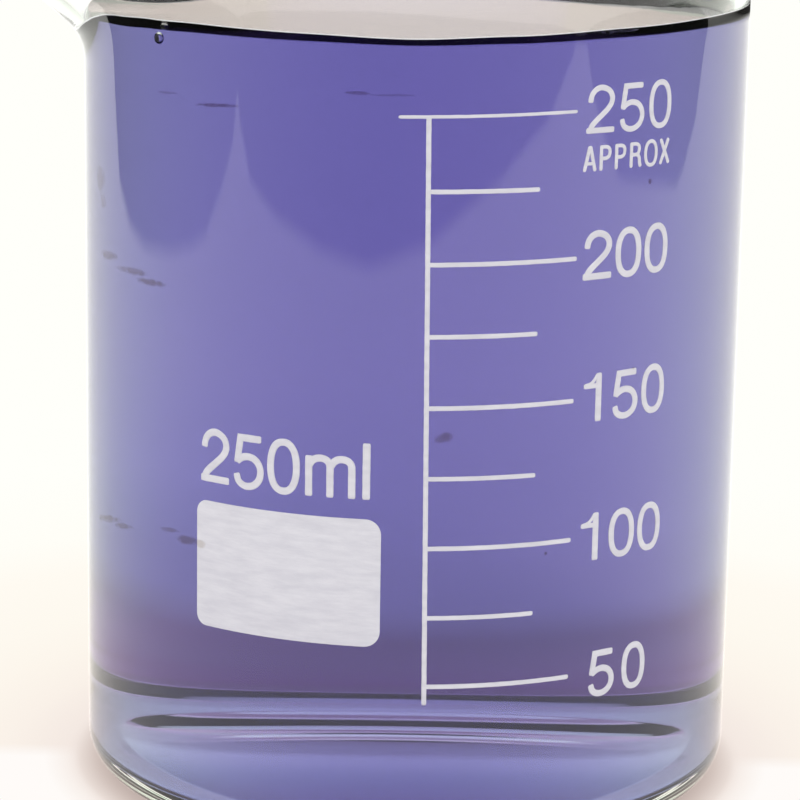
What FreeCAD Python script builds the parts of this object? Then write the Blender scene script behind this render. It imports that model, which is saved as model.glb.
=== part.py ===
import FreeCAD, Part

import math
import os

from FreeCAD import Vector

# A 250 ml low-form laboratory beaker of blown borosilicate glass, with the liquid that stands in it
# and the white enamel marks fired onto its wall. Millimetres.
# Frame: +Z up, origin in the centre of the ring that the base stands on, scale facing -Y, spout at -X.

# Body of the glass
body_diameter = 70.0
wall = 1.6
total_height = 94.0

# Base: a pushed-up underside inside a narrow foot ring, and a slightly domed floor
heel_radius = 5.0
base_edge_thickness = 2.8
push_up_diameter = 54.0
push_up_height = 2.0
inner_corner_radius = 4.0
floor_dome_height = 1.0

# Rim: the wall bells out a little below a fire-polished bead
rim_flare_height = 8.0
rim_flare_reach = 1.4
rim_bead_radius = 1.3

# Spout: the wall is drawn out into a trough, whose keel leaves it in an arc and then a straight slope
spout_start_height = 77.1
spout_bend_radius = 4.8
spout_angle_deg = 51.0
spout_spread_deg = 14.0
spout_tip_drop = 3.5
spout_drop_spread_deg = 24.0

# Net of the blown top: guide rings run up the outside, over the bead and down the inside
net_start_height = 75.0
net_columns = 120
net_rings_up = 14
net_rings_bead = 9
net_step = 1e-4

# Scale, on the volume of the bore
first_mark_ml = 50
last_mark_ml = 250
mark_step_ml = 25
first_mark_height = 19.0

# Liquid: how far its level stands below the rim
headspace_height = 11.7

# Enamel print: places round the wall are lengths along it, from the front towards +X
print_thickness = 0.08
stroke_width = 0.55
scale_offset = 1.5
long_stroke_length = 15.0
short_stroke_length = 10.9
full_stroke_overhang = 2.9
scale_foot_drop = 1.9
patch_left = -22.9
patch_right = -2.7
patch_bottom = 22.9
patch_top = 36.1
patch_corner_radius = 1.7

# Values worked out from those above
body_radius = body_diameter / 2
bore_radius = body_radius - wall
push_up_radius = push_up_diameter / 2
rim_flare_radius = (rim_flare_height ** 2 + rim_flare_reach ** 2) / (2 * rim_flare_reach)
rim_lean = math.asin(rim_flare_height / rim_flare_radius)
rim_edge_height = total_height - rim_bead_radius - wall / 2 * math.sin(rim_lean)
spout_angle = math.radians(spout_angle_deg)
liquid_height = total_height - headspace_height
scale_angle = scale_offset / body_radius
AXIS_POINT = Vector(0, 0, 0)
AXIS = Vector(0, 0, 1)
FULL_TURN = 360.0


def height_of_volume(volume_ml):
    """Height of a mark: the bore's cross-section turns millilitres into millimetres."""
    bore_area = math.pi * bore_radius ** 2
    return first_mark_height + (volume_ml - first_mark_ml) * 1000.0 / bore_area


def point_at(radius, height):
    """A point of a profile, in the XZ half-plane."""
    return Vector(radius, 0, height)


def line(start, end):
    return Part.LineSegment(start, end).toShape()


def arc(start, middle, end):
    return Part.Arc(start, middle, end).toShape()


def corner_arc(centre_radius, centre_height, radius):
    """A quarter arc from straight below its centre to straight outwards of it."""
    reach = radius * math.sqrt(0.5)
    return arc(
        point_at(centre_radius, centre_height - radius),
        point_at(centre_radius + reach, centre_height - reach),
        point_at(centre_radius + radius, centre_height),
    )


def dome_arc(edge_radius, edge_height, rise):
    """The half of a shallow dome from its top on the axis to its edge."""
    sphere_radius = (edge_radius ** 2 + rise ** 2) / (2 * rise)
    half_turn = math.asin(edge_radius / sphere_radius) / 2
    middle = point_at(
        sphere_radius * math.sin(half_turn),
        edge_height + rise - sphere_radius * (1 - math.cos(half_turn)),
    )
    return arc(point_at(0, edge_height + rise), middle, point_at(edge_radius, edge_height))


def outer_profile():
    """Pushed-up underside, foot ring, heel and wall, up to where the blown top starts."""
    foot_radius = body_radius - heel_radius
    return Part.Wire([
        dome_arc(push_up_radius, 0, push_up_height),
        line(point_at(push_up_radius, 0), point_at(foot_radius, 0)),
        corner_arc(foot_radius, heel_radius, heel_radius),
        line(point_at(body_radius, heel_radius), point_at(body_radius, net_start_height)),
    ])


def inner_profile():
    """Domed floor, inner corner and bore, up to where the blown top starts."""
    floor_radius = bore_radius - inner_corner_radius
    corner_height = base_edge_thickness + inner_corner_radius
    return Part.Wire([
        dome_arc(floor_radius, base_edge_thickness, floor_dome_height),
        corner_arc(floor_radius, corner_height, inner_corner_radius),
        line(point_at(bore_radius, corner_height), point_at(bore_radius, net_start_height)),
    ])


def rim_flare(height):
    """How far the wall bells out at a height: a circular arc that starts tangent to the wall."""
    rise = max(0.0, height - (rim_edge_height - rim_flare_height))
    return rim_flare_radius - math.sqrt(rim_flare_radius ** 2 - rise ** 2)


def spout_reach(height):
    """How far the keel stands out at a height."""
    rise = max(0.0, height - spout_start_height)
    bend_rise = spout_bend_radius * math.sin(spout_angle)
    if rise < bend_rise:
        return spout_bend_radius - math.sqrt(spout_bend_radius ** 2 - rise ** 2)
    bend_reach = spout_bend_radius * (1 - math.cos(spout_angle))
    return bend_reach + (rise - bend_rise) * math.tan(spout_angle)


def bell(angle, spread_deg):
    """A share that is 1 in the middle of the spout, at -X, and fades round the wall."""
    away = math.pi - abs(math.remainder(angle, 2 * math.pi))
    return math.exp(-(away / math.radians(spread_deg)) ** 2)


def outer_radius(angle, height):
    """Outside of the blown wall: round, but for the trough of the spout."""
    trough = spout_reach(height) * bell(angle, spout_spread_deg)
    return body_radius + rim_flare(height) + trough


def rim_height(angle):
    """Height of the wall's upper edge, which dips at the tip of the spout."""
    return rim_edge_height - spout_tip_drop * bell(angle, spout_drop_spread_deg)


def wall_point(angle, share):
    """A point on the outside of the blown top, from its lowest ring (0) to the rim (1)."""
    height = net_start_height + share * (rim_height(angle) - net_start_height)
    radius = outer_radius(angle, height)
    return Vector(radius * math.cos(angle), radius * math.sin(angle), height)


def wall_normal(angle, share):
    """The outward normal there, from two short chords of the surface."""
    up = wall_point(angle, share + net_step) - wall_point(angle, share - net_step)
    return wall_chord(angle, share).cross(up).normalize()


def wall_chord(angle, share):
    """A short chord of the surface, round the wall."""
    return wall_point(angle + net_step, share) - wall_point(angle - net_step, share)


def spline_inset(turn):
    """How far a cubic spline runs inside a round net, as a share, for the turn between its points."""
    return (2 + math.cos(turn)) / 3


def guide_column(angle):
    """Net points of one column: up the outside, over the bead and down the inside."""
    shares = [ring / net_rings_up for ring in range(net_rings_up)]
    outside = [wall_point(angle, share) for share in shares]
    inside = [
        point - wall_normal(angle, share) * wall for point, share in zip(outside, shares)
    ]
    rim_out = wall_normal(angle, 1.0)
    rim_up = rim_out.cross(wall_chord(angle, 1.0)).normalize()
    centre = wall_point(angle, 1.0) - rim_out * (wall / 2)
    bead_step = math.pi / (net_rings_bead - 1)
    net_radius = rim_bead_radius / spline_inset(bead_step)
    bead = []
    for ring in range(net_rings_bead):
        turn = ring * bead_step
        direction = rim_out * math.cos(turn) + rim_up * math.sin(turn)
        bead.append(centre + direction * net_radius)
    return outside + bead + inside[::-1]


def blown_top():
    """Flared rim, bead and spout: one smooth face skinned over the net of guide columns."""
    turn = 2 * math.pi / net_columns
    inset = spline_inset(turn)
    columns = []
    for column in range(net_columns):
        points = guide_column(column * turn)
        columns.append([Vector(p.x / inset, p.y / inset, p.z) for p in points])
    degree = 3
    rings = len(columns[0])
    ring_knots = rings - degree + 1
    ring_mults = [degree + 1] + [1] * (ring_knots - 2) + [degree + 1]
    surface = Part.BSplineSurface()
    surface.buildFromPolesMultsKnots(
        columns,
        [1] * (net_columns + 1),
        ring_mults,
        list(range(net_columns + 1)),
        list(range(ring_knots)),
        True,
        False,
        degree,
        degree,
    )
    return surface.toShape()


def beaker_glass():
    """The whole beaker as one blown solid."""
    outside = outer_profile().revolve(AXIS_POINT, AXIS, FULL_TURN)
    inside = inner_profile().revolve(AXIS_POINT, AXIS, FULL_TURN)
    shell = Part.makeShell(outside.Faces + [blown_top()] + inside.Faces)
    shell.sewShape()
    return Part.makeSolid(shell)


def liquid(glass):
    """What fills the bore up to the liquid's level, in touch with the glass all round."""
    # wide enough to reach the glass everywhere, the trough of the spout included
    column = Part.makeCylinder(body_radius + spout_reach(liquid_height), liquid_height)
    pieces = column.cut(glass).Solids
    middle = point_at(0, liquid_height / 2)
    return next(piece for piece in pieces if piece.isInside(middle, 0.01, False))


def enamel_strip(start_angle, end_angle, bottom, top):
    """A thin curved strip on the outside of the wall, between two angles and two heights."""
    outer = body_radius + print_thickness
    section = Part.makePolygon([
        point_at(body_radius, bottom),
        point_at(outer, bottom),
        point_at(outer, top),
        point_at(body_radius, top),
        point_at(body_radius, bottom),
    ])
    strip = Part.Face(section).revolve(AXIS_POINT, AXIS, math.degrees(end_angle - start_angle))
    # angles on the wall are counted from the front, -Y, towards +X
    strip.rotate(AXIS_POINT, AXIS, math.degrees(start_angle) - 90.0)
    return strip


def graduation_scale():
    """The upright line and a stroke for each mark, longer at every second one."""
    half_stroke = stroke_width / 2
    half_angle = half_stroke / body_radius
    foot = height_of_volume(first_mark_ml) - scale_foot_drop
    head = height_of_volume(last_mark_ml) + half_stroke
    strips = [enamel_strip(scale_angle - half_angle, scale_angle + half_angle, foot, head)]
    for volume_ml in range(first_mark_ml, last_mark_ml + 1, mark_step_ml):
        is_long = (volume_ml - first_mark_ml) % (2 * mark_step_ml) == 0
        length = long_stroke_length if is_long else short_stroke_length
        overhang = full_stroke_overhang if volume_ml == last_mark_ml else 0.0
        height = height_of_volume(volume_ml)
        strips.append(enamel_strip(
            scale_angle - overhang / body_radius,
            scale_angle + length / body_radius,
            height - half_stroke,
            height + half_stroke,
        ))
    return strips[0].fuse(strips[1:]).removeSplitter()


def marking_patch():
    """The field to write on: a curved plate with rounded corners."""
    plate = enamel_strip(
        patch_left / body_radius, patch_right / body_radius, patch_bottom, patch_top
    )
    corners = [edge for edge in plate.Edges if edge.Length < 2 * print_thickness
               and abs(edge.Vertexes[0].Z - edge.Vertexes[1].Z) < print_thickness / 2]
    return plate.makeFillet(patch_corner_radius, corners)


def main():
    os.makedirs("parts", exist_ok=True)
    glass = beaker_glass()
    nodes = {
        "beaker_glass": glass,
        "liquid": liquid(glass),
        "graduation_scale": graduation_scale(),
        "marking_patch": marking_patch(),
    }
    for name, shape in nodes.items():
        shape.exportStep("parts/" + name + ".step")
        box = shape.BoundBox
        print(name, shape.ShapeType, len(shape.Solids), "solids", round(shape.Volume, 1), "mm3",
              "valid", shape.isValid(), "x", round(box.XMin, 2), round(box.XMax, 2),
              "z", round(box.ZMin, 2), round(box.ZMax, 2))


main()
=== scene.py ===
"""Glass beaker with a blue-violet liquid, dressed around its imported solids. Metres, +Z up."""

import logging
import math
from dataclasses import dataclass, field
from enum import Enum, IntEnum

import bpy
from mathutils import Matrix, Vector, noise


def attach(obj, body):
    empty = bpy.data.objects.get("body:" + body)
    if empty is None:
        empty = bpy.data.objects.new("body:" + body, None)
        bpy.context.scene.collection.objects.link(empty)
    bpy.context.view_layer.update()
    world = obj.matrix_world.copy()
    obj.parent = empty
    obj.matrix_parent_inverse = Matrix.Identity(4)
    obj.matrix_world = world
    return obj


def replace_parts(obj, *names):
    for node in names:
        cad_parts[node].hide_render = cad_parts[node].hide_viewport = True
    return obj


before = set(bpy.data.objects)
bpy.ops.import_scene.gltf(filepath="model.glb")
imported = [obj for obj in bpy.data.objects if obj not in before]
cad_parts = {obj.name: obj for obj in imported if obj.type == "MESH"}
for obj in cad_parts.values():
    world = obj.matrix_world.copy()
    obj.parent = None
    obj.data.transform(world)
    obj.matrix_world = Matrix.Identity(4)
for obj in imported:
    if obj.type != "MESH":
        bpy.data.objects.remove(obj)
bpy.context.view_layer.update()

LOG = logging.getLogger("glass_beaker")
MM = 0.001
TAU = 2.0 * math.pi
BODY = "root"


Pair = tuple[float, float]
Colour = tuple[float, float, float]
Paint = tuple[float, float, float, float]
Stops = tuple[tuple[float, Colour], ...]
Socket = bpy.types.NodeSocket
WHITE = (1.0, 1.0, 1.0, 1.0)
SOFT_RAYS = ("Is Shadow Ray", "Is Diffuse Ray")


class Slot(Enum):
    """The record's material slots."""

    GLASS = "clear_glass"
    LIQUID = "violet_liquid"
    ENAMEL = "white_enamel"


class Skin(IntEnum):
    """Places of the finishes on the glass and on the liquid."""

    DRY = 0
    WET = 1
    # A hazy white ring just above the contact line: a painted glint of the meniscus.
    PAINTED_GLINT = 2


def deselect() -> None:
    """Leave object mode with nothing selected."""
    if bpy.context.object and bpy.context.object.mode != "OBJECT":
        bpy.ops.object.mode_set(mode="OBJECT")
    bpy.ops.object.select_all(action="DESELECT")


def activate(piece: bpy.types.Object) -> None:
    """Select one object alone and make it the active one.

    Args:
        piece: The object to work on.
    """
    deselect()
    piece.select_set(True)
    bpy.context.view_layer.objects.active = piece


def name_new(name: str) -> bpy.types.Object:
    """Name the active object and its mesh, and return it."""
    piece = bpy.context.object
    piece.name = name
    piece.data.name = name
    return piece


def smooth(piece: bpy.types.Object) -> None:
    """Shade every face of a piece smooth.

    Args:
        piece: The object to shade.
    """
    activate(piece)
    bpy.ops.object.shade_smooth()


def mount_piece(piece: bpy.types.Object, slot: Slot, *materials: bpy.types.Material) -> None:
    """Dress a finished piece and fix it to the beaker.

    Args:
        piece: The finished piece.
        slot: The record's slot that its finish belongs to; not used.
        materials: Its finish, and those of its wetted faces and of its painted glint band if it has
            any.
    """
    faces = [polygon.material_index for polygon in piece.data.polygons]
    piece.data.materials.clear()
    for material in materials:
        piece.data.materials.append(material)
    for polygon, index in zip(piece.data.polygons, faces):
        polygon.material_index = index
    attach(piece, BODY)
    LOG.info("%s: %d faces", piece.name, len(piece.data.polygons))


# Shape of the wall, shared by the glass, the liquid and the print


@dataclass(frozen=True)
class Wall:
    """The blown wall, in millimetres: a tube whose top flares and is drawn out into a spout."""

    body_radius: float = 35.0
    thickness: float = 1.6
    total_height: float = 94.0
    flare_height: float = 8.0
    flare_reach: float = 1.4
    bead_radius: float = 1.3
    blown_from: float = 75.0
    spout_from: float = 77.1
    spout_bend: float = 4.8
    spout_slope: float = math.radians(51.0)
    spout_spread: float = math.radians(14.0)
    spout_drop: float = 3.5
    spout_drop_spread: float = math.radians(24.0)
    chord: float = 1e-4
    search_rounds: int = 10

    @property
    def bore_radius(self) -> float:
        """Inside radius of the straight tube."""
        return self.body_radius - self.thickness

    @property
    def flare_radius(self) -> float:
        """Radius of the arc in which the wall bells out."""
        return (self.flare_height ** 2 + self.flare_reach ** 2) / (2 * self.flare_reach)

    @property
    def edge_height(self) -> float:
        """Height of the wall's upper edge, under the bead."""
        lean = math.asin(self.flare_height / self.flare_radius)
        return self.total_height - self.bead_radius - self.thickness / 2 * math.sin(lean)

    def flare(self, height: float) -> float:
        """How far the wall bells out at a height."""
        rise = max(0.0, height - (self.edge_height - self.flare_height))
        return self.flare_radius - math.sqrt(self.flare_radius ** 2 - rise ** 2)

    def reach(self, height: float) -> float:
        """How far the spout's keel stands out at a height."""
        rise = max(0.0, height - self.spout_from)
        bend_rise = self.spout_bend * math.sin(self.spout_slope)
        if rise < bend_rise:
            return self.spout_bend - math.sqrt(self.spout_bend ** 2 - rise ** 2)
        bend_reach = self.spout_bend * (1 - math.cos(self.spout_slope))
        return bend_reach + (rise - bend_rise) * math.tan(self.spout_slope)

    @staticmethod
    def bell(angle: float, spread: float) -> float:
        """A share that is 1 in the middle of the spout, at -X, and fades round the wall."""
        away = math.pi - abs(math.remainder(angle, TAU))
        return math.exp(-((away / spread) ** 2))

    def outside(self, angle: float, share: float) -> Vector:
        """A point on the outside of the blown top.

        Args:
            angle: Angle round the axis.
            share: 0 where the blown top starts and 1 at the wall's upper edge.

        Returns:
            The point, in millimetres.
        """
        edge = self.edge_height - self.spout_drop * self.bell(angle, self.spout_drop_spread)
        height = self.blown_from + share * (edge - self.blown_from)
        trough = self.reach(height) * self.bell(angle, self.spout_spread)
        radius = self.body_radius + self.flare(height) + trough
        return Vector((radius * math.cos(angle), radius * math.sin(angle), height))

    def axes(self, angle: float, share: float) -> tuple[Vector, Vector]:
        """Outward normal of the blown top and the direction up along it.

        Args:
            angle: Angle round the axis.
            share: Place between the start of the blown top and its edge.

        Returns:
            The normal and the upward tangent, both of length 1.
        """
        step = self.chord
        round_chord = self.outside(angle + step, share) - self.outside(angle - step, share)
        up_chord = self.outside(angle, share + step) - self.outside(angle, share - step)
        normal = round_chord.cross(up_chord).normalized()
        return normal, normal.cross(round_chord).normalized()

    def blow(self, point: Vector) -> Vector:
        """Carry a point of the straight tube to its place in the blown wall.

        Args:
            point: A point in or near the wall of the straight tube.

        Returns:
            The same point after the rim is flared and the spout is drawn.
        """
        if point.z <= self.blown_from:
            return point.copy()
        angle = math.atan2(point.y, point.x)
        radius = math.hypot(point.x, point.y)
        edge = self.edge_height
        share = min(1.0, (point.z - self.blown_from) / (edge - self.blown_from))
        normal, up = self.axes(angle, share)
        past = max(0.0, point.z - edge)
        return self.outside(angle, share) + normal * (radius - self.body_radius) + up * past

    def inner_point(self, angle: float, height: float, depth: float) -> tuple[Vector, Vector]:
        """A point at a given height and depth under the outside of the wall.

        Args:
            angle: Angle round the axis.
            height: Height that the point is to have.
            depth: How deep it lies under the outer surface, square to it.

        Returns:
            The point, in millimetres, and the wall's outward normal there.
        """
        if height <= self.blown_from:
            normal = Vector((math.cos(angle), math.sin(angle), 0.0))
            return normal * (self.body_radius - depth) + Vector((0, 0, height)), normal
        span = self.edge_height - self.blown_from
        share = (height - self.blown_from) / span
        point, normal = Vector(), Vector()
        for _ in range(self.search_rounds):
            normal, _up = self.axes(angle, share)
            point = self.outside(angle, share) - normal * depth
            share += (height - point.z) / span
        return point, normal


WALL = Wall()


def quarter(centre: Pair, radius: float, start: float, steps: int
            ) -> list[Pair]:
    """Points of a quarter arc, turning anticlockwise.

    Args:
        centre: Centre of the arc.
        radius: Its radius.
        start: Angle where it starts, in degrees.
        steps: How many steps it takes.

    Returns:
        The points, both ends included.
    """
    return [
        (
            centre[0] + radius * math.cos(math.radians(start + 90.0 * step / steps)),
            centre[1] + radius * math.sin(math.radians(start + 90.0 * step / steps)),
        )
        for step in range(steps + 1)
    ]


def dome(edge_radius: float, edge_height: float, rise: float, steps: int
         ) -> list[Pair]:
    """Points of a shallow dome, from its top on the axis to just short of its edge.

    Args:
        edge_radius: Radius of its edge.
        edge_height: Height of its edge.
        rise: How far its top stands above the edge.
        steps: How many steps the half dome takes.

    Returns:
        The points of the half dome, without the edge point.
    """
    sphere = (edge_radius ** 2 + rise ** 2) / (2 * rise)
    full = math.asin(edge_radius / sphere)
    turns = [full * step / steps for step in range(steps)]
    return [
        (sphere * math.sin(turn), edge_height + rise - sphere * (1 - math.cos(turn)))
        for turn in turns
    ]


def between(start: float, end: float, steps: int) -> list[float]:
    """Evenly spaced values from start to end, both included."""
    return [start + (end - start) * step / steps for step in range(steps + 1)]


@dataclass
class Lathe:
    """Turns an outline round the axis, as glass is turned on a lathe."""

    columns: int = 256
    weld: float = 1e-6

    def turn(self, name: str, outline: list[Pair]) -> bpy.types.Object:
        """Draw the outline point by point and spin it into a closed skin.

        Args:
            name: Name of the new piece.
            outline: Radius and height of each point, in millimetres.

        Returns:
            The new piece, with its faces pointing outwards.
        """
        deselect()
        bpy.ops.mesh.primitive_plane_add(size=self.weld, location=(0, 0, 0))
        piece = name_new(name)
        bpy.ops.object.mode_set(mode="EDIT")
        bpy.ops.mesh.select_all(action="SELECT")
        bpy.ops.mesh.merge(type="CENTER")
        last = Vector((0, 0, 0))
        first = Vector((outline[0][0] * MM, 0, outline[0][1] * MM))
        bpy.ops.transform.translate(value=first - last)
        last = first
        for radius, height in outline[1:]:
            place = Vector((radius * MM, 0, height * MM))
            bpy.ops.mesh.extrude_region_move(TRANSFORM_OT_translate={"value": place - last})
            last = place
        bpy.ops.mesh.select_all(action="SELECT")
        bpy.ops.mesh.spin(steps=self.columns, angle=TAU, center=(0, 0, 0), axis=(0, 0, 1))
        bpy.ops.mesh.select_all(action="SELECT")
        bpy.ops.mesh.remove_doubles(threshold=self.weld)
        bpy.ops.mesh.normals_make_consistent(inside=False)
        bpy.ops.object.mode_set(mode="OBJECT")
        return piece


# Finishes


@dataclass
class Wiring:
    """Adds and joins the nodes of one shader tree."""

    tree: bpy.types.NodeTree

    def add(self, kind: str, **settings: object) -> bpy.types.Node:
        """Add a node.

        Args:
            kind: The node's type.
            settings: Properties to set on it.

        Returns:
            The node.
        """
        node = self.tree.nodes.new(kind)
        for name, value in settings.items():
            setattr(node, name, value)
        return node

    def feed(self, socket: Socket, value: object) -> None:
        """Put a value or another node's output into an input."""
        if isinstance(value, Socket):
            self.tree.links.new(value, socket)
        else:
            socket.default_value = value

    def math(self, operation: str, *values: object) -> Socket:
        """Work out a number from others.

        Args:
            operation: What to do.
            values: Numbers or outputs that it takes.

        Returns:
            The result's output.
        """
        node = self.add("ShaderNodeMath", operation=operation)
        for socket, value in zip(node.inputs, values):
            self.feed(socket, value)
        return node.outputs[0]

    def remap(self, value: object, low: float, high: float, soft: bool = False) -> Socket:
        """Bring a value from a range to 0 to 1, clamped.

        Args:
            value: The value.
            low: Gives 0.
            high: Gives 1.
            soft: Whether the change eases in and out.

        Returns:
            The result's output.
        """
        node = self.add("ShaderNodeMapRange")
        node.interpolation_type = "SMOOTHSTEP" if soft else "LINEAR"
        self.feed(node.inputs["Value"], value)
        self.feed(node.inputs["From Min"], low)
        self.feed(node.inputs["From Max"], high)
        return node.outputs["Result"]

    def ramp(self, value: object, stops: Stops) -> Socket:
        """Look a colour up by a value from 0 to 1.

        Args:
            value: The value.
            stops: Places and their colours, in order.

        Returns:
            The colour's output.
        """
        node = self.add("ShaderNodeValToRGB")
        elements = node.color_ramp.elements
        elements[0].position, elements[0].color = stops[0][0], (*stops[0][1], 1.0)
        elements[1].position, elements[1].color = stops[-1][0], (*stops[-1][1], 1.0)
        for place, colour in stops[1:-1]:
            elements.new(place).color = (*colour, 1.0)
        self.feed(node.inputs[0], value)
        return node.outputs[0]

    def squares(self, first: Socket, second: Socket) -> Socket:
        """The sum of the squares of two numbers."""
        return self.math(
            "ADD", self.math("MULTIPLY", first, first), self.math("MULTIPLY", second, second)
        )

    def mix(self, share: object, first: object, second: object, blend: str = "MIX") -> Socket:
        """Mix two colours.

        Args:
            share: How much of the second.
            first: The first colour.
            second: The second colour.
            blend: How they are mixed.

        Returns:
            The colour's output.
        """
        node = self.add("ShaderNodeMix", data_type="RGBA", blend_type=blend)
        self.feed(node.inputs[0], share)
        self.feed(node.inputs[6], first)
        self.feed(node.inputs[7], second)
        return node.outputs[2]

    def end_in(self, share: Socket, first: Socket, second: Socket) -> None:
        """Mix two shaders and make them the material's surface.

        Args:
            share: How much of the second.
            first: The first shader.
            second: The second shader.
        """
        mix = self.add("ShaderNodeMixShader")
        for socket, value in zip(mix.inputs, (share, first, second)):
            self.feed(socket, value)
        self.feed(self.tree.nodes["Material Output"].inputs["Surface"], mix.outputs[0])


def new_material(name: str) -> tuple[bpy.types.Material, bpy.types.Node]:
    """Make a node material.

    Args:
        name: Name of the finish.

    Returns:
        The material and its Principled shader.
    """
    material = bpy.data.materials.new(name)
    material.use_nodes = True
    return material, material.node_tree.nodes["Principled BSDF"]


def let_light_through(material: bpy.types.Material, shader: bpy.types.Node,
                      rays: tuple[str, ...] = SOFT_RAYS) -> None:
    """Let some kinds of rays pass a clear piece unchanged.

    Shadow and diffuse rays pass, so that what stands behind it isn't black. At a wetted wall
    the glass alone bends light, so the liquid's own skin lets all other rays pass too.

    Args:
        material: The clear finish.
        shader: Its Principled shader.
        rays: The Light Path outputs of the rays that pass.
    """
    wiring = Wiring(material.node_tree)
    path = wiring.add("ShaderNodeLightPath").outputs
    passing = path[rays[0]]
    for ray in rays[1:]:
        passing = wiring.math("MAXIMUM", passing, path[ray])
    clear = wiring.add("ShaderNodeBsdfTransparent").outputs[0]
    wiring.end_in(passing, shader.outputs[0], clear)


@dataclass(frozen=True)
class Smudge:
    """A smudge on the outside of the wall.

    Attributes:
        place: Its middle: millimetres round the wall from the front, and up.
        size: Half its length and half its height, in millimetres.
        rise: How much it climbs along its length.
        strength: How dark it is.
    """

    place: Pair
    size: Pair
    rise: float = 0.0
    strength: float = 1.0


@dataclass(frozen=True)
class Smudges:
    """The smudges and specks on the glass and its print, as one node group.

    A noise makes their edges ragged: each fades from full_at to clear_at, where 1 is its outline.
    """

    name: str = "smudges"
    grain: float = 900.0
    detail: float = 3.0
    ragged: float = 1.6
    clear_at: float = 1.3
    full_at: float = 0.1
    marks: tuple[Smudge, ...] = (
        Smudge((-20.7, 76.2), (2.9, 0.21), 0.06, 0.95),
        Smudge((-27.0, 76.8), (1.8, 0.15), 0.05, 0.5),
        Smudge((-33.2, 57.9), (3.2, 0.40), 0.05, 0.9),
        Smudge((-29.8, 57.3), (2.6, 0.38), 0.05, 1.0),
        Smudge((-38.6, 58.6), (2.4, 0.5), 0.10, 0.9),
        Smudge((-39.3, 30.4), (3.4, 0.42), 0.20, 1.0),
        Smudge((-35.2, 30.6), (2.2, 0.34), 0.16, 0.9),
        Smudge((-24.2, 31.5), (2.0, 0.50), 0.05, 1.0),
        Smudge((-26.8, 32.1), (1.5, 0.28), 0.08, 0.8),
        Smudge((-22.4, 31.5), (0.7, 0.45), 0.0, 0.8),
        Smudge((3.3, 44.6), (0.95, 0.62), 0.15, 1.0),
        Smudge((-5.6, 78.4), (1.3, 0.2), 0.0, 0.8),
        Smudge((-2.2, 78.3), (2.4, 0.14), 0.02, 0.45),
        Smudge((-41.0, 66.2), (1.4, 1.5), 0.0, 0.8),
        Smudge((-40.2, 64.0), (0.8, 0.9), 0.0, 0.6),
        Smudge((25.5, 68.9), (0.24, 0.28), 0.0, 1.0),
        Smudge((24.0, 50.2), (0.16, 0.16), 0.0, 0.8),
        Smudge((14.1, 32.3), (0.2, 0.16), 0.0, 0.9),
    )

    def group(self) -> bpy.types.NodeTree:
        """Build the group once and return it."""
        known = bpy.data.node_groups.get(self.name)
        if known:
            return known
        tree = bpy.data.node_groups.new(self.name, "ShaderNodeTree")
        tree.interface.new_socket("Place", in_out="INPUT", socket_type="NodeSocketVector")
        tree.interface.new_socket("Strength", in_out="INPUT", socket_type="NodeSocketFloat")
        tree.interface.new_socket("Mask", in_out="OUTPUT", socket_type="NodeSocketFloat")
        wiring = Wiring(tree)
        given = wiring.add("NodeGroupInput").outputs
        axes = wiring.add("ShaderNodeSeparateXYZ")
        wiring.feed(axes.inputs[0], given["Place"])
        front = wiring.math("MULTIPLY", axes.outputs[1], -1.0)
        arc = wiring.math(
            "MULTIPLY", wiring.math("ARCTAN2", axes.outputs[0], front), WALL.body_radius
        )
        height = wiring.math("DIVIDE", axes.outputs[2], MM)
        grain = wiring.add("ShaderNodeTexNoise")
        wiring.feed(grain.inputs["Vector"], given["Place"])
        wiring.feed(grain.inputs["Scale"], self.grain)
        wiring.feed(grain.inputs["Detail"], self.detail)
        rough = wiring.math("MULTIPLY_ADD", grain.outputs["Fac"], self.ragged, -self.ragged / 2)
        total = 0.0
        for mark in self.marks:
            from_middle = wiring.math("SUBTRACT", arc, mark.place[0])
            along = wiring.math("DIVIDE", from_middle, mark.size[0])
            middle = wiring.math("MULTIPLY_ADD", along, mark.rise * mark.size[0], mark.place[1])
            up = wiring.math("DIVIDE", wiring.math("SUBTRACT", height, middle), mark.size[1])
            away = wiring.math("ADD", wiring.squares(along, up), rough)
            shape = wiring.remap(away, self.clear_at, self.full_at, True)
            total = wiring.math("MAXIMUM", total, wiring.math("MULTIPLY", shape, mark.strength))
        middle_of_wall = (WALL.body_radius - WALL.thickness / 2) * MM
        outside = wiring.math(
            "GREATER_THAN", wiring.squares(axes.outputs[0], front), middle_of_wall ** 2
        )
        mask = wiring.math("MULTIPLY", wiring.math("MULTIPLY", total, outside), given["Strength"])
        end = wiring.add("NodeGroupOutput")
        wiring.feed(end.inputs["Mask"], mask)
        return tree

    def mask(self, wiring: Wiring, strength: float) -> Socket:
        """Place the group in a finish.

        Args:
            wiring: The finish's node tree.
            strength: How strongly the marks show.

        Returns:
            Where the marks are, from 0 to 1.
        """
        node = wiring.add("ShaderNodeGroup", node_tree=self.group())
        wiring.feed(node.inputs["Place"], wiring.add("ShaderNodeTexCoord").outputs["Object"])
        wiring.feed(node.inputs["Strength"], strength)
        return node.outputs["Mask"]


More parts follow.
